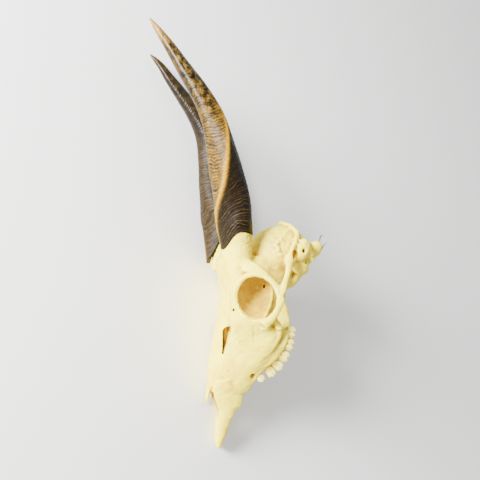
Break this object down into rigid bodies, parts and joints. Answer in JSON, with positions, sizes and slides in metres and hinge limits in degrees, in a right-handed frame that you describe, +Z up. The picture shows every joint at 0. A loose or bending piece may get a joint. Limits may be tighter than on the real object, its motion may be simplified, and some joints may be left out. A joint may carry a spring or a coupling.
{
  "type": "bushbuck skull",
  "caption": "Bushbuck skull with spiral horns and upper cheek teeth, no lower jaw, lying on its right side, with a small wire hanging loop at the back.",
  "frame": {"origin": "middle of the object's bounding box in X and Y, at the floor", "axes": "+Y runs along the skull from the snout to the horn tips, +Z is up, and the skull lies on its right side"},
  "size_m": [0.2026, 0.4156, 0.1099],
  "materials": {
    "bone": "dry cream bone",
    "horn": "ribbed brown keratin",
    "wire": "dull galvanised wire"
  },
  "bodies": {
    "root": {"cranium": "bone", "maxilla_left": "bone", "maxilla_right": "bone", "nasal_left": "bone", "nasal_right": "bone", "premaxilla_left": "bone", "premaxilla_right": "bone", "horn_left": "horn", "horn_right": "horn", "hanger": "wire"}
  },
  "joints": []
}
